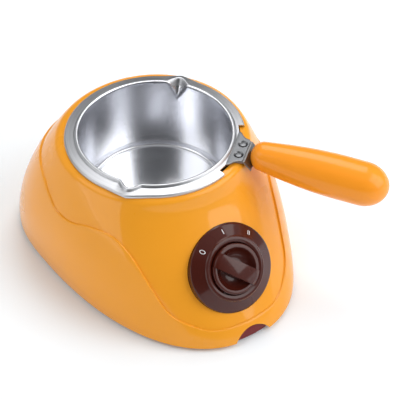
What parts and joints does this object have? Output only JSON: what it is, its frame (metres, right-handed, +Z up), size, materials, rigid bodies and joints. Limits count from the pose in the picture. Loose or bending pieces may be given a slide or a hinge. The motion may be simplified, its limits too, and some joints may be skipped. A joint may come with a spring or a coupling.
{
  "type": "chocolate fondue pot",
  "caption": "Electric melting pot: a lift-out metal pot with pouring lips and a side handle in a heated, egg-shaped housing with a heat dial and a pilot lens.",
  "frame": {"origin": "on the table under the feet, on the vertical axis of the melting pot", "axes": "+Z up along the pot's axis, front with the dial and lens towards -Y, +X to the right of someone who faces the dial"},
  "size_m": [0.173, 0.2079, 0.094],
  "materials": {
    "orange_shell": "smooth glossy moulding",
    "dark_cover": "fine moulded texture",
    "foot_rubber": "matt rubber",
    "screw_steel": "zinc plated",
    "well_aluminium": "pressed sheet, satin",
    "cast_aluminium": "sand cast",
    "mica": "mineral sheet, slightly glossy",
    "bar_steel": "zinc plated sheet",
    "thermostat_shell": "plated cap",
    "fuse_brass": "drawn case",
    "maroon_dial": "polished moulding",
    "switch_plastic": "moulded",
    "shaft_brass": "turned",
    "red_lens": "clear red moulding",
    "lamp_glass": "clear glass tube",
    "holder_plastic": "moulded",
    "spun_aluminium": "fine circular brushing",
    "bracket_steel": "pressed sheet"
  },
  "bodies": {
    "base": {"upper_housing": "orange_shell", "bottom_cover": "dark_cover", "foot_front_right": "foot_rubber", "foot_front_left": "foot_rubber", "foot_rear_right": "foot_rubber", "foot_rear_left": "foot_rubber", "cover_screws": "screw_steel", "heater_well": "well_aluminium", "heating_disc": "cast_aluminium", "mica_insulator": "mica", "heater_bar": "bar_steel", "bar_screws": "screw_steel", "stud_washer": "bar_steel", "stud_nut": "bar_steel", "thermostat": "thermostat_shell", "thermostat_screws": "screw_steel", "thermal_fuse": "fuse_brass", "fuse_clip": "bar_steel", "fuse_screw": "screw_steel", "dial_plate": "maroon_dial", "rotary_switch": "switch_plastic", "bush_washer": "bar_steel", "bush_nut": "bar_steel", "pilot_lens": "red_lens", "neon_lamp": "lamp_glass", "lamp_holder": "holder_plastic", "cord_grommet": "foot_rubber", "terminal_block": "holder_plastic", "terminal_screws": "fuse_brass"},
    "pot": {"pot": "spun_aluminium", "handle_bracket": "bracket_steel", "bracket_rivets": "spun_aluminium", "handle_grip": "orange_shell", "grip_screw": "screw_steel"},
    "knob": {"knob": "maroon_dial", "switch_shaft": "shaft_brass"}
  },
  "joints": [
    {"name": "pot_lift", "type": "slide", "parent": "base", "child": "pot", "axis": [0, 0, 1], "range_m": [0, 0.07]},
    {"name": "knob_turn", "type": "hinge", "parent": "base", "child": "knob", "pos_m": [0, -0.08214, 0.04], "axis": [0, 0.8234, -0.5674], "range_deg": [0, 90]}
  ]
}
